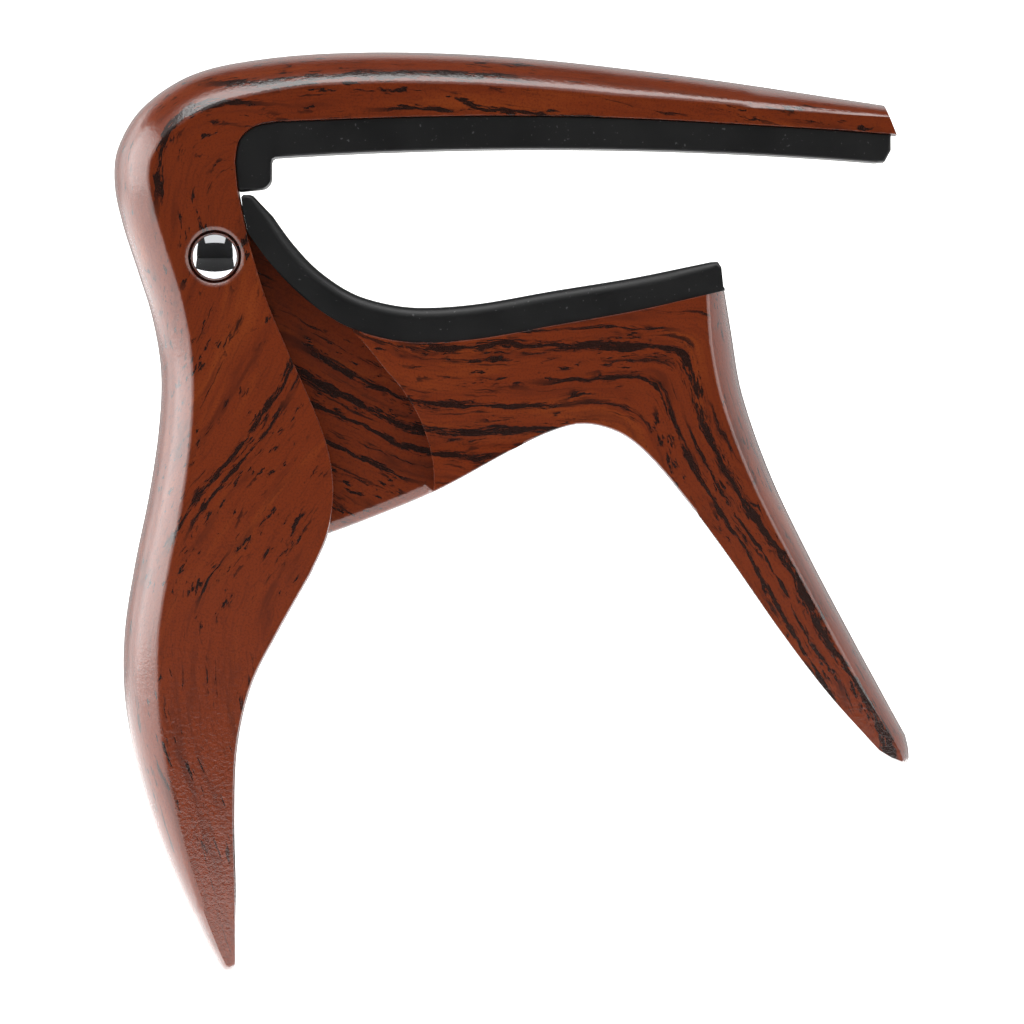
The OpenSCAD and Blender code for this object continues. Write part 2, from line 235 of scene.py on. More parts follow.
def turned(name, outline, steps, centre, axis, merge):
    """An outline of points turned once round an axis, open in edit mode."""
    mesh = bpy.data.meshes.new(name)
    mesh.from_pydata(outline, [(i, i + 1) for i in range(len(outline) - 1)], [])
    piece = placed(name, mesh)
    activate(piece)
    bpy.ops.object.mode_set(mode="EDIT")
    bpy.ops.mesh.select_all(action="SELECT")
    bpy.ops.mesh.spin(steps=steps, angle=2 * math.pi, center=centre, axis=axis)
    bpy.ops.mesh.select_all(action="SELECT")
    bpy.ops.mesh.remove_doubles(threshold=merge)
    return piece


def cut_across(piece, point, normal, wanted):
    """Cuts along a plane the faces that wanted(face) picks."""
    bpy.ops.mesh.select_mode(type="FACE")
    bpy.ops.mesh.select_all(action="DESELECT")
    shape = bmesh.from_edit_mesh(piece.data)
    for face in shape.faces:
        face.select_set(wanted(face))
    bmesh.update_edit_mesh(piece.data)
    bpy.ops.mesh.bisect(plane_co=point, plane_no=normal, use_fill=False)


def select_edges(piece, wanted):
    """Selects the edges that wanted(edge) picks, and returns how many there are."""
    bpy.ops.mesh.select_mode(type="EDGE")
    bpy.ops.mesh.select_all(action="DESELECT")
    shape = bmesh.from_edit_mesh(piece.data)
    shape.normal_update()
    chosen = [edge for edge in shape.edges if wanted(edge)]
    for edge in chosen:
        edge.select_set(True)
    bmesh.update_edit_mesh(piece.data)
    return len(chosen)


def is_ridge(edge, least=28):
    """True for an outward edge that turns by at least so many degrees."""
    return len(edge.link_faces) == 2 and edge.is_convex and edge.calc_face_angle(0) > math.radians(least)


def middle(edge):
    """The point halfway along an edge."""
    return (edge.verts[0].co + edge.verts[1].co) / 2


def is_crease(edge, least=22):
    """True for the edge where a crown meets a flank: one face is the flank, and the other slopes."""
    slopes = sorted(abs(face.normal.y) for face in edge.link_faces)
    return is_ridge(edge, least) and 0.25 < slopes[0] < 0.93 and slopes[1] > 0.97


def spans(face, half):
    """True for a face that runs from flank to flank, with corners more than half from the middle."""
    return abs(face.normal.y) < 0.3 and max(abs(v.co.y) for v in face.verts) > half


def near_bore(point, reach=3.4):
    """True close to the pivot's axis, where the seats of its heads are."""
    return math.hypot(*from_pivot(point)) < reach


def ellipse(fullness):
    """Cross-section of a crown: part of an ellipse, which ends in a crease at the flank."""
    last = math.asin(fullness)

    def section(share, half, width):
        angle = share * last
        return half * math.sin(angle) / fullness, width * (1 - math.cos(angle)) / (1 - math.cos(last))
    return section


def shoulder(share, half, width):
    """Cross-section of a flat face with a quarter round at each flank."""
    flat = 0.25        # the share of the points that lies on the flat part
    if abs(share) <= flat:
        return (half - width) * share / flat, 0.0
    angle = (abs(share) - flat) / (1 - flat) * math.pi / 2
    return math.copysign(half - width + width * math.sin(angle), share), width * (1 - math.cos(angle))


def crown(piece, is_skin, width_at, cuts, section):
    """Rounds an outer face from flank to flank.

    Each line across the face gets a row of points. section turns a point's share of the half width, -1 to 1,
    into its Y and how far it sinks, and width_at(x, z) is the sink in millimetres at the flank itself."""
    shape = bmesh.from_edit_mesh(piece.data)
    shape.normal_update()
    skin = {face for face in shape.faces if is_skin(face)}
    row_of = shape.verts.layers.float.new("row")
    rows = []
    bpy.ops.mesh.select_all(action="DESELECT")
    bpy.ops.mesh.select_mode(type="EDGE")
    for edge in shape.edges:
        a, b = edge.verts
        beside = [face.normal for face in edge.link_faces if face in skin]
        if beside and abs(a.co.y - b.co.y) > HALF_GAP:
            inward = -sum(beside, Vector()).normalized()
            for face in edge.link_faces:
                # An end row slides along the face beside it, so that that face stays flat, and no row is drawn
                # out more than 1.25 times. A face that looks straight inward or outward gives no way to slide.
                if face not in skin and abs(inward.dot(face.normal)) < 0.93:
                    slide = inward - inward.dot(face.normal) * face.normal
                    inward = slide / max(0.8, slide.dot(inward))
            rows.append((inward, abs(a.co.y), width_at(*from_pivot(a.co)) * MM))
            a[row_of] = b[row_of] = len(rows)
            edge.select_set(True)
    bmesh.update_edit_mesh(piece.data)
    bpy.ops.mesh.subdivide(number_cuts=cuts)
    shape = bmesh.from_edit_mesh(piece.data)
    row_of = shape.verts.layers.float["row"]
    for vertex in shape.verts:
        index = round(vertex[row_of])
        if index:
            inward, half, width = rows[index - 1]
            share = max(-1.0, min(1.0, vertex.co.y / half))
            y, sink = section(share, half, width)
            vertex.co = (vertex.co.x + inward.x * sink, y, vertex.co.z + inward.z * sink)
    shape.verts.layers.float.remove(row_of)
    bmesh.update_edit_mesh(piece.data)


def ease_taper(piece, start, direction, length, wanted):
    """Turns the corner where a flank starts to taper into a long soft bend.

    start is a point on the corner, direction points along the taper, length is half the bend's length, and
    wanted(face) picks the faces to cut."""
    for share in (0, -1, -0.75, -0.45, 0.3, 0.6, 1):
        cut_across(piece, start + direction * share * length, direction, wanted)
    shape = bmesh.from_edit_mesh(piece.data)
    along = {vertex: (vertex.co - start).dot(direction) for vertex in shape.verts}
    end = max(shape.verts, key=lambda v: (round(along[v], 4), abs(v.co.y)))
    slope = (HALF_WIDTH - abs(end.co.y)) / along[end]
    for vertex in shape.verts:
        d = along[vertex]
        if abs(d) < length and abs(abs(vertex.co.y) - (HALF_WIDTH - slope * max(0.0, d))) < 0.03 * MM:
            vertex.co.y = math.copysign(HALF_WIDTH - slope * (d + length) ** 2 / (4 * length), vertex.co.y)
    bmesh.update_edit_mesh(piece.data)


def drop_lines(piece, wanted):
    """Takes out the lines across a face that wanted(x, z) picks, so that a crown's end has room."""
    if select_edges(piece, lambda edge: abs(edge.verts[0].co.y - edge.verts[1].co.y) > HALF_GAP
                    and wanted(*from_pivot(middle(edge)))):
        bpy.ops.mesh.dissolve_edges(use_verts=True)


def round_edges(piece, wanted, width, segments=3, shortest=0.0):
    """Rounds the edges that wanted(edge) picks, apart from those under the shortest length."""
    if select_edges(piece, lambda edge: edge.calc_length() > shortest and wanted(edge)):
        bpy.ops.mesh.bevel(offset=width, offset_type="OFFSET", segments=segments, profile=0.5,
                           affect="EDGES", clamp_overlap=False, miter_outer="SHARP")


def finish_mesh(piece, smooth_below=40):
    """Leaves edit mode and gives the piece soft shading that keeps its flat faces flat."""
    bpy.ops.mesh.select_all(action="SELECT")
    bpy.ops.mesh.remove_doubles(threshold=0.001 * MM)
    bpy.ops.object.mode_set(mode="OBJECT")
    bpy.ops.object.shade_smooth_by_angle(angle=math.radians(smooth_below))
    weighted = piece.modifiers.new("Weighted normals", "WEIGHTED_NORMAL")
    weighted.mode = "FACE_AREA"
    weighted.weight = 50
    weighted.keep_sharp = True
    bpy.ops.object.modifier_apply(modifier=weighted.name)


def hand_over(piece, node, body, material):
    """Gives a finished piece its material and its body, and hides the CAD node that it stands for."""
    piece.data.materials.clear()
    piece.data.materials.append(material)
    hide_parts(node)
    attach(piece, body)


# Materials

def add(tree, kind, settings=(), **inputs):
    """Adds a node, sets its properties, and sets or links its inputs.

    An input is named after its socket, with _ for a space, or is i and the socket's number."""
    made = tree.nodes.new(kind)
    for name, value in dict(settings).items():
        setattr(made, name, value)
    for name, value in inputs.items():
        key = int(name[1:]) if name[0] == "i" and name[1:].isdigit() else name.replace("_", " ")
        socket = made.inputs[key]
        if isinstance(value, bpy.types.NodeSocket):
            tree.links.new(value, socket)
        else:
            socket.default_value = value
    return made


def maths(tree, operation, *values):
    """The result of a maths node, whose values are numbers or outputs."""
    inputs = {"i%d" % number: value for number, value in enumerate(values)}
    return add(tree, "ShaderNodeMath", {"operation": operation}, **inputs).outputs[0]


def noise(tree, place, scale, detail, roughness):
    """A noise texture's value at a place."""
    texture = add(tree, "ShaderNodeTexNoise", Vector=place, Scale=scale, Detail=detail, Roughness=roughness)
    return texture.outputs[0]


def step(tree, source, low, high, first=0.0, last=1.0):
    """first where the source is below low, last where it is above high, and smooth between."""
    return add(tree, "ShaderNodeMapRange", {"interpolation_type": "SMOOTHSTEP"}, i0=source, i1=low, i2=high,
               i3=first, i4=last).outputs[0]


def over(tree, below, above, amount):
    """One colour laid over another by an amount."""
    return add(tree, "ShaderNodeMix", {"data_type": "RGBA"}, i0=amount, i6=below, i7=above).outputs[2]


def new_material(name):
    """An empty node material, and its tree."""
    material = bpy.data.materials.new(name)
    material.use_nodes = True
    material.node_tree.nodes.clear()
    return material, material.node_tree


def flow_line(tree, along, knots):
    """A smooth curve through (along, across) knots in millimetres, as an output in millimetres."""
    low_in, high_in = knots[0][0], knots[-1][0]
    low_out, high_out = min(k[1] for k in knots), max(k[1] for k in knots)
    share = add(tree, "ShaderNodeMapRange", i0=along, i1=low_in, i2=high_in, i3=0.0, i4=1.0)
    line = add(tree, "ShaderNodeFloatCurve", Value=share.outputs[0])
    curve = line.mapping.curves[0]
    places = [((a - low_in) / (high_in - low_in), (b - low_out) / (high_out - low_out)) for a, b in knots]
    curve.points[0].location = places[0]
    curve.points[1].location = places[-1]
    for place in places[1:-1]:
        curve.points.new(*place)
    line.mapping.update()
    result = add(tree, "ShaderNodeMapRange", i0=line.outputs[0], i1=0.0, i2=1.0, i3=low_out, i4=high_out)
    return result.outputs[0]


def wood_film(name, settings, flow, bands, along_sign):
    """Zinc casting with a printed rosewood film under a satin clear coat.

    The film was laid on in water: red-brown, with near-black streaks and short pores that run along each
    limb and bend round the corners. The coat over it has the fine ripple of sprayed lacquer, so its gloss is
    broken up. flow gives the two lines that the grain runs along, in millimetres, how softly it turns from one
    to the other, and the noise levels between which pores and threads set in. bands gives each broad dark
    stripe's centre and breadth across the grain, and its start and end along it, in millimetres; most are
    streaks of the print, and one on the rear casting is partly painted shade beside its crease."""
    material, tree = new_material(name)
    place = add(tree, "ShaderNodeTexCoord").outputs["Object"]
    local = add(tree, "ShaderNodeVectorMath", {"operation": "SUBTRACT"}, i0=place, i1=PIVOT).outputs[0]
    in_mm = add(tree, "ShaderNodeVectorMath", {"operation": "SCALE"}, i0=local, Scale=1 / MM).outputs[0]
    x, y, z = add(tree, "ShaderNodeSeparateXYZ", i0=in_mm).outputs

    level = flow_line(tree, x, flow["level"])
    upright = flow_line(tree, z, flow["upright"])
    below = maths(tree, "SUBTRACT", level, z)
    if along_sign > 0:
        beside = maths(tree, "SUBTRACT", upright, x)
    else:
        beside = maths(tree, "SUBTRACT", x, upright)
    across = maths(tree, "SMOOTH_MIN", below, beside, flow["bend"])
    along = maths(tree, "SUBTRACT", maths(tree, "MULTIPLY", x, along_sign), z)
    straight = add(tree, "ShaderNodeCombineXYZ", i0=along, i1=across, i2=y).outputs[0]

    def grain(source, length, breadth, detail, roughness, offset=0.0):
        """Noise drawn out along the grain. Its features are about that long and broad, in millimetres."""
        scaled = add(tree, "ShaderNodeVectorMath", {"operation": "MULTIPLY_ADD"}, i0=source,
                     i1=(1 / length, 1 / breadth, 1 / breadth), i2=(offset, offset * 0.7, offset * 0.3))
        return noise(tree, scaled.outputs[0], 1.0, detail, roughness)

    def times(a, b):
        """The product of two outputs, or of an output and a number."""
        return maths(tree, "MULTIPLY", a, b)

    # The grain wanders by about a millimetre, so that no streak is a clean curve.
    wander = maths(tree, "MULTIPLY_ADD", grain(straight, 14, 6, 2, 0.5), 1.6, -0.8)
    waver = maths(tree, "MULTIPLY_ADD", grain(straight, 3, 1.6, 2, 0.6, 5), 0.8, -0.4)
    moved = maths(tree, "ADD", across, maths(tree, "ADD", wander, waver))
    bent = add(tree, "ShaderNodeCombineXYZ", i0=along, i1=moved, i2=y).outputs[0]

    dark = linear(settings.wood_dark)
    light_figure = step(tree, grain(bent, 26, 3.2, 3, 0.55), 0.5, 0.78)
    dark_figure = step(tree, grain(bent, 18, 2.2, 4, 0.6, 9), 0.52, 0.74)
    colour = over(tree, linear(settings.wood), linear(settings.wood_light), light_figure)
    colour = over(tree, colour, dark, dark_figure)
    # Fine pores, about 0.3 mm wide
    fine = step(tree, grain(bent, 5, 0.3, 2, 0.6, 3), 0.45, 0.8)
    colour = over(tree, colour, dark, times(fine, 0.5))
    # The print's own grit, about 0.2 mm across, breaks up every tone.
    grit_tone = step(tree, noise(tree, in_mm, 5.5, 2.0, 0.6), 0.45, 0.7)
    colour = over(tree, colour, dark, times(grit_tone, 0.55))
    # Short dark pores come in patches.
    patches = step(tree, grain(bent, 9, 4, 2, 0.5, 23), 0.44, 0.56)
    pores = times(step(tree, grain(bent, 2.4, 0.62, 3, 0.65, 17), *flow["pores"]), patches)
    # Long thin streaks lie anywhere, and the broad dark stripes where bands puts them. They take the streak
    # colour; one rear band is partly painted shade.
    threads = times(step(tree, grain(bent, 13, 0.8, 5, 0.7, 31), *flow["threads"]), 0.9)
    darkness = maths(tree, "MAXIMUM", pores, threads)
    fade = 2.5         # half the length over which a streak comes in or goes out
    for centre, breadth, start, end in bands:
        distance = maths(tree, "ABSOLUTE", maths(tree, "SUBTRACT", moved, centre))
        ragged = maths(tree, "MULTIPLY_ADD", grain(bent, 3.2, 0.42, 4, 0.75, centre), breadth * 3.6,
                       -breadth * 1.7)
        stripe = step(tree, maths(tree, "ADD", distance, ragged), breadth * 0.4, breadth * 0.72, 1.0, 0.0)
        inside = times(step(tree, along, start - fade, start + fade),
                       step(tree, along, end - fade, end + fade, 1.0, 0.0))
        darkness = maths(tree, "MAXIMUM", darkness, times(stripe, inside))
    colour = over(tree, colour, linear(settings.streak_and_shade), times(darkness, 0.93))

    # Sprayed lacquer: ripples of about 0.4 mm with a finer grit on them.
    ripple = noise(tree, place, 1 / settings.peel, 2.0, 0.55)
    grit = noise(tree, place, 3.4 / settings.peel, 1.0, 0.5)
    relief = maths(tree, "MULTIPLY_ADD", grit, 0.45, ripple)
    bump = add(tree, "ShaderNodeBump", Strength=0.55, Distance=0.045 * MM, Height=relief).outputs[0]
    film = add(tree, "ShaderNodeBsdfPrincipled", Base_Color=colour, Metallic=0.0, Roughness=0.4, IOR=1.5,
               Specular_IOR_Level=0.15, Coat_Weight=1.0, Coat_Roughness=0.13, Coat_IOR=1.65, Normal=bump,
               Coat_Normal=bump)
    add(tree, "ShaderNodeOutputMaterial", Surface=film.outputs[0])
    return material


def silicone(settings):
    """Moulded silicone rubber, matt black.

    It gathers fine dust and has the grain of a blasted mould, so its edges catch a soft grey light."""
    material, tree = new_material("Moulded black silicone")
    place = add(tree, "ShaderNodeTexCoord").outputs["Object"]
    mould = noise(tree, place, 1 / (0.25 * MM), 2.0, 0.6)
    dust = noise(tree, place, 1 / (0.35 * MM), 1.0, 0.5)
    clouds = noise(tree, place, 1 / (6 * MM), 3.0, 0.6)
    rough = add(tree, "ShaderNodeMapRange", i0=clouds, i1=0.3, i2=0.7, i3=0.42, i4=0.52)
    colour = over(tree, linear(settings.colour), linear("#6A6A6C"), step(tree, dust, 0.71, 0.77, 0.0, 0.35))
    bump = add(tree, "ShaderNodeBump", Strength=0.25, Distance=0.02 * MM, Height=mould)
    rubber = add(tree, "ShaderNodeBsdfPrincipled", Base_Color=colour, Roughness=rough.outputs[0],
                 Specular_IOR_Level=0.45, Normal=bump.outputs[0])
    add(tree, "ShaderNodeOutputMaterial", Surface=rubber.outputs[0])
    return material


def metal(name, hex_colour, roughness, wear_size, wear):
    """Bare or plated metal whose gloss varies a little from place to place, as handling leaves it."""
    material, tree = new_material(name)
    place = add(tree, "ShaderNodeTexCoord").outputs["Object"]
    handled = noise(tree, place, 1 / wear_size, 3.0, 0.6)
    rough = add(tree, "ShaderNodeMapRange", i0=handled, i1=0.3, i2=0.7, i3=roughness, i4=roughness + wear)
    shader = add(tree, "ShaderNodeBsdfPrincipled", Base_Color=linear(hex_colour), Metallic=1.0,
                 Roughness=rough.outputs[0])
    add(tree, "ShaderNodeOutputMaterial", Surface=shader.outputs[0])
    return material


def nylon(settings):
    """Stamped nylon sheet: off-white, a little waxy, with the rolling marks of the sheet."""
    material, tree = new_material("Stamped natural nylon")
    place = add(tree, "ShaderNodeTexCoord").outputs["Object"]
    rolled = noise(tree, place, 1 / (0.5 * MM), 2.0, 0.5)
    bump = add(tree, "ShaderNodeBump", Strength=0.2, Distance=0.01 * MM, Height=rolled)
    shader = add(tree, "ShaderNodeBsdfPrincipled", Base_Color=linear(settings.nylon), Roughness=0.5, IOR=1.53,
                 Normal=bump.outputs[0])
    add(tree, "ShaderNodeOutputMaterial", Surface=shader.outputs[0])
    return material


# Pieces

class CAPO_OT_rear_handle(bpy.types.Operator):
    """Fixed jaw and rear handle: crowned back, fine rounded edges, printed wood film"""
    bl_idname = "capo.rear_handle"
    bl_label = "Rear handle"

    def execute(self, context):
        settings = context.scene.capo_casting
        centre = (25.0, -25.0)          # a point inside the capo, X and Z from the pivot
        back = (44.4, 243)              # the angles about it between which the back is crowned
        creased = (50, 236)             # and those between which its crease is rounded
        square_end = 65                 # the jaw's end keeps its square edges past this X

        def angle_round(x, z):
            return math.degrees(math.atan2(z - centre[1], x - centre[0])) % 360

        # Width of the crown's slope in side view, from the jaw's tip (44 degrees) round to the handle's tip
        slope = [(44, 1.2), (54, 1.9), (72, 2.7), (92, 2.95), (110, 3.1), (124, 3.8), (138, 3.5), (156, 3.2),
                 (182, 3.5), (207, 3.5), (224, 2.4), (236, 1.2), (243, 0.6)]

        def width_at(x, z):
            return between(angle_round(x, z), slope)

        def is_back(face):
            x, z = from_pivot(face.calc_center_median())
            outward = face.normal.x * (x - centre[0]) + face.normal.z * (z - centre[1])
            return (spans(face, HALF_GAP + 0.04 * MM) and outward > 0
                    and back[0] < angle_round(x, z) < back[1])

        def is_long_crease(edge):
            return is_crease(edge) and creased[0] < angle_round(*from_pivot(middle(edge))) < creased[1]

        def plain(edge):
            place = middle(edge)
            return (is_ridge(edge) and not is_crease(edge) and not near_bore(place)
                    and abs(place.y) > HALF_GAP - 0.01 * MM and from_pivot(place)[0] < square_end)

        piece = merged_copy("rear_handle", "rear_handle_casting")
        # The crown needs a line across the back where the arm starts to taper, as the flanks have one.
        cut_across(piece, PIVOT + Vector((6 * MM, 0, 0)), Vector((1, 0, 0)), is_back)
        ease_taper(piece, PIVOT - Vector((0, 0, 27 * MM)), DOWN, settings.ease, lambda face: True)
        crown(piece, is_back, width_at, settings.crown_cuts, ellipse(settings.fullness))
        round_edges(piece, is_long_crease, settings.crease)
        round_edges(piece, plain, settings.edge, 2)
        finish_mesh(piece)
        flow = {
            "level": [(-12, 9.0), (5, 8.6), (14, 9.1), (24, 9.0), (33, 8.3), (44, 7.0), (58, 5.0), (68, 3.6)],
            "upright": [(-72, -11.5), (-55, -16.5), (-42, -19.8), (-36, -19.4), (-28, -15.4), (-10, -3.5),
                        (0, 0.0), (10, 1.0), (22, 2.0)],
            "bend": 9.0, "pores": (0.575, 0.64), "threads": (0.61, 0.67)}
        # The band at -6.3 across, from -20 to 1 along, follows the dark line just inside the crease round the
        # corner: partly a streak of the print, partly painted shade, a dark reflection beside the bright
        # crease laid into the film.
        bands = [(11.0, 0.75, 1, 33), (12.4, 0.5, 7, 30), (-8.6, 0.7, -48, -16), (-6.3, 0.7, -20, 1),
                 (-5.4, 0.35, -62, -30), (17.3, 0.35, 28, 36)]
        material = wood_film("Rosewood film under satin lacquer, rear casting", settings, flow, bands, -1)
        hand_over(piece, "rear_handle", FIXED, material)
        return {"FINISHED"}


class CAPO_OT_front_lever(bpy.types.Operator):
    """Moving jaw, tongue and front handle: crowned front, rounded tongue, printed wood film"""
    bl_idname = "capo.front_lever"
    bl_label = "Front lever"

    def execute(self, context):
        settings = context.scene.capo_casting
        # Width of the crown's slope in side view, up the handle's front and along the handle's end
        slope = [(-49.1, 0.75), (-48.2, 0.95), (-46.9, 1.3), (-44.6, 1.45), (-30, 1.7), (-18, 2.0), (-8, 2.2),
                 (-3.3, 1.7)]
        end_slope = [(65.0, 0.1), (66.1, 0.3), (67.3, 0.45), (67.8, 0.6)]
        handle_x, crown_x = 45, 47      # the handle's front lies past the first X, its crown past the second
        end_z = -46                     # the rounding stops near the handle's end, at this Z
        step_corner = (13.7, -7.3)      # where the step beside the tongue meets the pad's seat

        def width_at(x, z):
            return between(x, end_slope) if z < -48 and x < 67.9 else between(z, slope)

        def is_front(face):
            x, z = from_pivot(face.calc_center_median())
            looks_ahead = face.normal.x > 0.25
            is_end = face.normal.z < -0.72 and z < -47
            return spans(face, HALF_TONGUE + 0.1 * MM) and x > handle_x and (looks_ahead or is_end)

        def is_long_crease(edge):
            return is_crease(edge, 15) and from_pivot(middle(edge))[1] > end_z

        def under_tongue(edge):
            place = middle(edge)
            return (is_ridge(edge) and abs(abs(place.y) - HALF_TONGUE) < 0.1 * MM
                    and min(face.normal.z for face in edge.link_faces) < -0.7 and from_pivot(place)[1] < -20)

        def plain(edge):
            place = middle(edge)
            x, z = from_pivot(place)
            return (is_ridge(edge) and not is_crease(edge) and abs(place.y) > HALF_TONGUE + 0.2 * MM
                    and end_z < z and x < crown_x and math.hypot(x - step_corner[0], z - step_corner[1]) > 1.3)

        piece = merged_copy("front_lever", "front_lever_casting")
        ease_taper(piece, PIVOT - Vector((0, 0, 18 * MM)), DOWN, settings.ease,
                   lambda face: from_pivot(face.calc_center_median())[0] > 21)
        drop_lines(piece, lambda x, z: z > -4.8 and 44 < x < 49.8)
        crown(piece, is_front, width_at, settings.crown_cuts, ellipse(settings.lever_fullness))
        round_edges(piece, is_long_crease, settings.crease, 4)
        round_edges(piece, plain, settings.edge, 2)
        round_edges(piece, under_tongue, settings.tongue_edge, 5)
        finish_mesh(piece)
        flow = {
            "level": [(-6, 9.0), (0, 5.2), (8.7, 0.7), (15.8, -2.8), (21.3, -4.7), (30, -4.9), (40, -4.9),
                      (52, -5.0), (70, -6.0)],
            "upright": [(-52, 71.5), (-46.5, 69.2), (-34.4, 62.5), (-29.7, 60.0), (-25.8, 57.2),
                        (-17.9, 52.9), (-11.7, 50.8), (-2, 49.8), (8, 49.0)],
            "bend": 4.5, "pores": (0.56, 0.63), "threads": (0.57, 0.64)}
        bands = [(4.1, 0.9, 27, 118), (12.4, 1.1, 12, 54), (7.2, 0.5, 44, 112), (14.6, 0.7, 14, 48),
                 (17.6, 0.55, 24, 42), (2.4, 0.35, 32, 52), (5.8, 0.4, 62, 104), (9.6, 0.6, 18, 50)]
        material = wood_film("Rosewood film under satin lacquer, lever", settings, flow, bands, 1)
        hand_over(piece, "front_lever", MOVING, material)
        return {"FINISHED"}


class CAPO_OT_pads(bpy.types.Operator):
    """String pad and neck pad: moulded silicone with rounded long edges"""
    bl_idname = "capo.pads"
    bl_label = "Pads"

    def execute(self, context):
        settings = context.scene.capo_pads
        material = silicone(settings)

        def is_working(face):
            x, z = from_pivot(face.calc_center_median())
            is_far_end = x > 49 and z < -2.6
            return spans(face, HALF_GAP) and face.normal.z > 0.15 and not is_far_end

        # The neck pad's round is full along the curve and smaller at its horn and its far end.
        shares = [(2.6, 0.3), (3.6, 0.45), (6, 0.9), (9, 1.0), (47, 1.0), (48.6, 0.7), (49.6, 0.35)]

        def neck_width(x, z):
            return between(x, shares) * settings.neck_round / MM

        neck = merged_copy("neck_pad", "neck_pad_silicone")
        crown(neck, is_working, neck_width, settings.pad_cuts, shoulder)
        finish_mesh(neck, 50)
        hand_over(neck, "neck_pad", MOVING, material)

        string = merged_copy("string_pad", "string_pad_silicone")
        round_edges(string, lambda e: is_ridge(e, 40) and abs(middle(e).y) > HALF_GAP,
                    settings.string_round, 3, 2.2 * settings.string_round)
        finish_mesh(string, 50)
        hand_over(string, "string_pad", FIXED, material)
        return {"FINISHED"}


class CAPO_OT_pivot(bpy.types.Operator):
    """Chromed hollow post with its domed head, and the socket screw that closes it"""
    bl_idname = "capo.pivot"
    bl_label = "Pivot post and screw"

    def execute(self, context):
        settings = context.scene.capo_metal
        chrome = metal("Polished chrome plate on steel", settings.chrome, 0.03, 2 * MM, 0.02)
        low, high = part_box("pivot_post")
        head_r = (high.x - low.x) / 2
        seat = 6.75 * MM       # from the middle to the plane that the heads' rims lie on
        rim = 0.53 * MM        # from the seat to the dome's edge
        dome = 0.62 * MM       # from the dome's edge to its top
        shank_r = 1.75 * MM
        bore_r = 1.0 * MM
        chamfer = 0.15 * MM
        ball_r = (head_r ** 2 + dome ** 2) / (2 * dome)
        steps = 18
        outline = []
        for i in range(steps + 1):
            angle = math.asin(0.97 * head_r / ball_r) * i / steps
            outline.append((ball_r * math.sin(angle), -(seat + rim + dome - ball_r * (1 - math.cos(angle)))))
        edge_y = outline[-1][1]
        outline += [(head_r * 0.99, edge_y + 0.05 * MM), (head_r, edge_y + 0.13 * MM), (head_r, -seat),
                    (shank_r, -seat), (shank_r, high.y - chamfer), (shank_r - chamfer, high.y),
                    (bore_r, high.y), (bore_r, 0.0), (0.0, 0.0)]
        post = turned("pivot_post_chromed", [(PIVOT.x + r, y, PIVOT.z) for r, y in outline], settings.turns,
                      (PIVOT.x, 0, PIVOT.z), (0, 1, 0), 0.002 * MM)
        bpy.ops.mesh.normals_make_consistent(inside=False)
        finish_mesh(post, 35)
        hand_over(post, "pivot_post", FIXED, chrome)

        screw = merged_copy("pivot_screw", "pivot_screw_chromed")
        round_edges(screw, lambda e: is_ridge(e, 40) and middle(e).y > seat, 0.06 * MM, 2)
        finish_mesh(screw, 35)
        hand_over(screw, "pivot_screw", FIXED, chrome)
        return {"FINISHED"}


class CAPO_OT_washers(bpy.types.Operator):
    """Nylon thrust washers on both sides of the tongue"""
    bl_idname = "capo.washers"
    bl_label = "Washers"

    def execute(self, context):
        material = nylon(context.scene.capo_metal)
        for node in ("front_washer", "rear_washer"):
            piece = merged_copy(node, node + "_nylon")
            round_edges(piece, lambda e: is_ridge(e, 60), 0.05 * MM, 2)
            finish_mesh(piece, 35)
            hand_over(piece, node, FIXED, material)
        return {"FINISHED"}


class CAPO_OT_spring(bpy.types.Operator):
    """Torsion spring of round wire, which winds up along the pivot as the lever opens"""
    bl_idname = "capo.spring"
    bl_label = "Torsion spring"

    def execute(self, context):
        material = metal("Drawn spring steel, oiled", context.scene.capo_metal.steel, 0.24, 0.8 * MM, 0.12)
        piece = merged_copy("torsion_spring", "torsion_spring_wire")
        finish_mesh(piece, 60)
        smooth = piece.modifiers.new("Round wire", "SUBSURF")
        smooth.levels = smooth.render_levels = 1
        bpy.ops.object.modifier_apply(modifier=smooth.name)
        low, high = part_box("torsion_spring")
        wire_r = 0.65 * MM
        piece.data.materials.clear()
        piece.data.materials.append(material)
        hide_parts("torsion_spring")
        # The first and last turns keep to their castings, and the coil between them winds.
        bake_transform(piece, FIXED, MOVING, (0, low.y + 1.2 * wire_r, 0), (0, high.y - 1.2 * wire_r, 0))
        return {"FINISHED"}


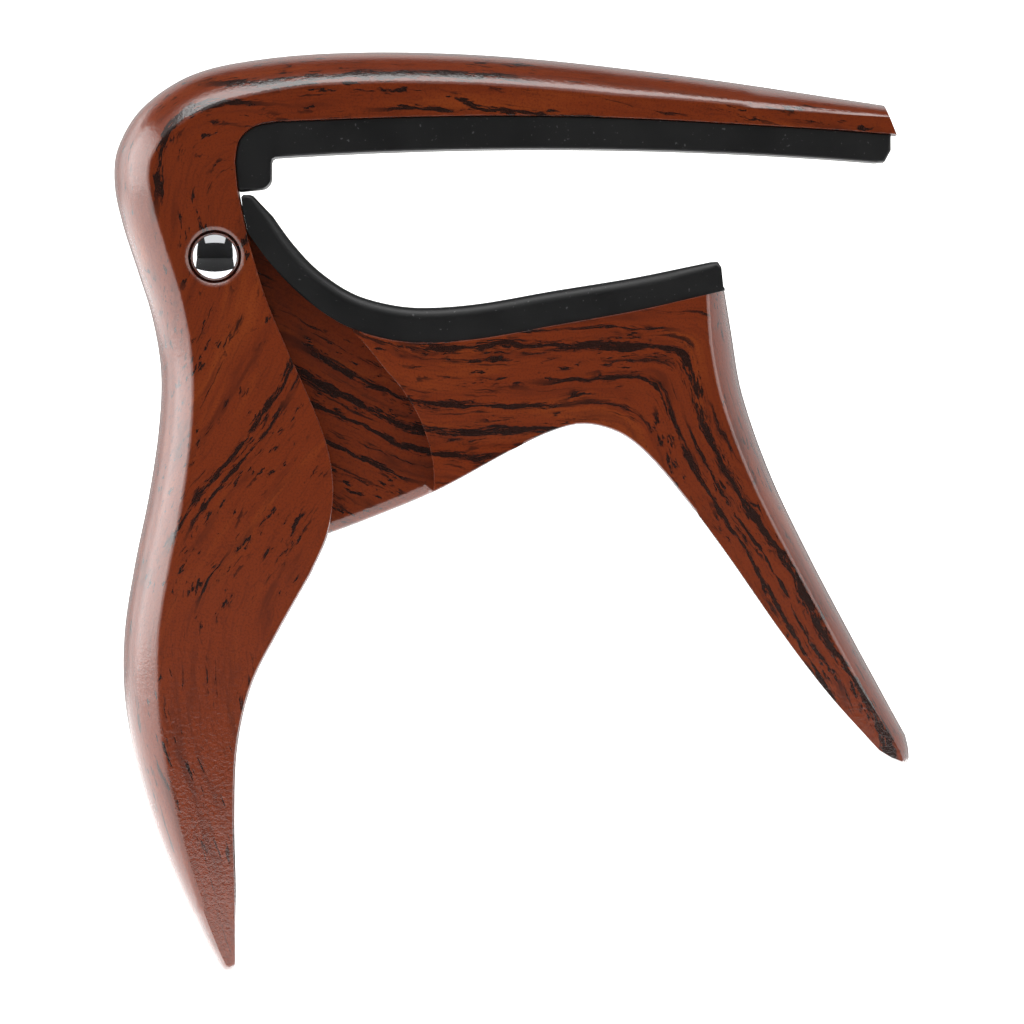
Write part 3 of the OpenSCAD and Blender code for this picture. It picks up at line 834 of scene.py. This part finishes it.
class CAPO_OT_stage(bpy.types.Operator):
    """Camera level with the capo, a white sweep all round, soft boxes, flags and dark cloth"""
    bl_idname = "capo.stage"
    bl_label = "Stage"

    def execute(self, context):
        settings = context.scene.capo_stage
        aim = Vector((PIVOT.x + settings.aim[0], -HALF_WIDTH, PIVOT.z + settings.aim[1]))
        self.camera(settings, aim)
        self.sweep(settings)
        self.dark_room(aim)
        self.soft_boxes(aim)
        world = bpy.data.worlds.new("Studio")
        world.use_nodes = True
        sky = world.node_tree.nodes["Background"]
        sky.inputs["Color"].default_value = (1, 1, 1, 1)
        # The sky lights at half strength, but past the sweep's rim it looks as white as the paper.
        rays = add(world.node_tree, "ShaderNodeLightPath")
        seen = rays.outputs["Is Camera Ray"]
        strength = add(world.node_tree, "ShaderNodeMapRange", i0=seen, i3=0.5, i4=1.0)
        world.node_tree.links.new(strength.outputs[0], sky.inputs["Strength"])
        context.scene.world = world
        context.scene.view_settings.view_transform = "Standard"
        context.scene.view_settings.look = "None"
        return {"FINISHED"}

    def camera(self, settings, aim):
        data = bpy.data.cameras.new("Camera")
        data.lens = data.sensor_width * settings.distance / settings.view_width
        data.clip_start = 0.01
        data.clip_end = 50
        camera = placed("Camera", data)
        camera.location = aim - Vector((0, settings.distance, 0))
        camera.rotation_euler = (math.pi / 2, 0, 0)
        bpy.context.scene.camera = camera

    def sweep(self, settings):
        """Floor whose rim curves up all round, so that no horizon shows."""
        flat, bend, wall = settings.sweep_radius, 1.2, 2.0
        outline = [(0.0, 0.0), (flat, 0.0)]
        outline += [(flat + bend * math.sin(a), bend * (1 - math.cos(a)))
                    for a in [math.radians(d) for d in range(6, 91, 6)]]
        outline.append((flat + bend, bend + wall))
        sweep = turned("sweep", [(r, 0, FLOOR + h) for r, h in outline], 64, (0, 0, 0), (0, 0, 1), 0.0001)
        bpy.ops.object.mode_set(mode="OBJECT")
        bpy.ops.object.shade_smooth_by_angle(angle=math.radians(40))
        material, tree = new_material("White paper sweep")
        paper = add(tree, "ShaderNodeBsdfPrincipled", Base_Color=linear(settings.paper), Roughness=0.9,
                    Emission_Color=(1, 1, 1, 1), Emission_Strength=0.8)
        add(tree, "ShaderNodeOutputMaterial", Surface=paper.outputs[0])
        sweep.data.materials.append(material)

    def dark(self, name, points, faces, glow=0.0):
        """A piece of black cloth, or a card that glows, which shows in reflections alone."""
        mesh = bpy.data.meshes.new(name)
        mesh.from_pydata(points, [], faces)
        cloth = placed(name, mesh)
        cloth.visible_camera = False
        cloth.visible_shadow = False
        material, tree = new_material("Studio cloth, " + name)
        black = add(tree, "ShaderNodeBsdfPrincipled", Base_Color=linear("#0A0A0B"), Roughness=1.0,
                    Emission_Color=(1, 1, 1, 1), Emission_Strength=glow)
        add(tree, "ShaderNodeOutputMaterial", Surface=black.outputs[0])
        cloth.data.materials.append(material)

    def dark_room(self, aim):
        """Black cloth ahead of the capo, on the floor and standing, a white board over it, and cards behind.

        The cloth keeps the flat sides dark and draws the dark shape in the post's head. The cards behind dim
        what the crowned edges reflect near the outline."""
        away, near = 1.3, 0.1          # where the cloth on the floor ends and starts, ahead of the capo
        half = 1.19                    # half the cloth's width
        up, horn_up = 0.85, 1.8        # its height over the pivot, in the middle and at its two horns
        floor = FLOOR + 0.001
        hub = Vector((PIVOT.x, aim.y, PIVOT.z))
        at_floor = [(-0.12, -near), (0.12, -near), (half, -away), (-half, -away)]
        wall = [(-half, 0), (half, 0), (1.35, horn_up), (0.95, horn_up), (0.6, up), (-0.6, up),
                (-0.95, horn_up), (-1.35, horn_up)]
        points = [(hub.x + x, hub.y + y, floor) for x, y in at_floor]
        points += [(hub.x + x, hub.y - away, (hub.z + z) if z else floor) for x, z in wall]
        self.dark("cloth_ahead", points, [(0, 1, 2, 3), tuple(range(4, 12))])
        board = [(hub.x + x, hub.y - away - 0.1, hub.z + z)
                 for x, z in ((-1.2, 0.5), (1.2, 0.5), (1.2, 2.4), (-1.2, 2.4))]
        self.dark("white_board", board, [(0, 1, 2, 3)], 0.8)
        # Each flag is an arc round the aim: its first and last angle from straight behind, half its length
        # and its glow.
        flags = (("flag_right", 25, 80, 0.6, 0.5), ("flag_top", 40, 82, 0.7, 0.0))
        steps, reach = 6, 0.7
        for name, first, last, length, glow in flags:
            points = []
            for i in range(steps + 1):
                angle = math.radians(first + (last - first) * i / steps)
                for end in (-length, length):
                    out, back = reach * math.sin(angle), reach * math.cos(angle)
                    if name == "flag_top":
                        points.append((aim.x + end, aim.y + back, aim.z + out))
                    else:
                        points.append((aim.x + out, aim.y + back, aim.z + 0.55 + end))
            self.dark(name, points, [(2 * i, 2 * i + 1, 2 * i + 3, 2 * i + 2) for i in range(steps)], glow)

        def ring(radius, away):
            turns = [math.radians(15 * i) for i in range(24)]
            return [(aim.x + radius * math.sin(t), aim.y + away, aim.z + radius * math.cos(t)) for t in turns]

        self.dark("flag_behind", ring(0.15, 0.69), [tuple(range(24))])
        self.dark("grey_card", ring(0.6, 0.7), [tuple(range(24))], 0.55)

    def soft_boxes(self, aim):
        """Each box is a place from the aim, a width, a height and a power in watts."""
        boxes = {
            "box_left": ((-0.75, 0.05, 0.1), 0.73, 0.9, 4.8),
            "box_right": ((0.74, 0.1, 0.1), 0.7, 0.9, 0.9),
            "box_top": ((0.0, -0.16, 0.78), 1.0, 0.5, 6.0)}
        for name, (place, width, height, watts) in boxes.items():
            data = bpy.data.lights.new(name, "AREA")
            data.shape = "RECTANGLE"
            data.size = width
            data.size_y = height
            data.energy = watts
            light = placed(name, data)
            light.location = aim + Vector(place)
            light.rotation_euler = Vector(place).to_track_quat("Z", "Y").to_euler()
            light.visible_camera = False


class CAPO_PT_panel(bpy.types.Panel):
    """The capo's pieces, in the order in which they are made"""
    bl_idname = "CAPO_PT_panel"
    bl_label = "Trigger capo"
    bl_space_type = "VIEW_3D"
    bl_region_type = "UI"
    bl_category = "Capo"

    def draw(self, context):
        for operator in OPERATORS:
            self.layout.operator(operator.bl_idname)


SETTINGS = {"capo_casting": CastingSettings, "capo_pads": PadSettings, "capo_metal": MetalSettings,
            "capo_stage": StageSettings}
OPERATORS = [CAPO_OT_rear_handle, CAPO_OT_front_lever, CAPO_OT_pads, CAPO_OT_pivot, CAPO_OT_washers,
             CAPO_OT_spring, CAPO_OT_stage]


def register():
    for settings in SETTINGS.values():
        bpy.utils.register_class(settings)
    for name, settings in SETTINGS.items():
        setattr(bpy.types.Scene, name, PointerProperty(type=settings))
    for operator in OPERATORS:
        bpy.utils.register_class(operator)
    bpy.utils.register_class(CAPO_PT_panel)


def unregister():
    bpy.utils.unregister_class(CAPO_PT_panel)
    for operator in reversed(OPERATORS):
        bpy.utils.unregister_class(operator)
    for name, settings in reversed(SETTINGS.items()):
        delattr(bpy.types.Scene, name)
        bpy.utils.unregister_class(settings)


def main():
    """Makes the capo and its stage."""
    register()
    for operator in OPERATORS:
        group, name = operator.bl_idname.split(".")
        getattr(getattr(bpy.ops, group), name)()


if __name__ == "__main__":
    main()
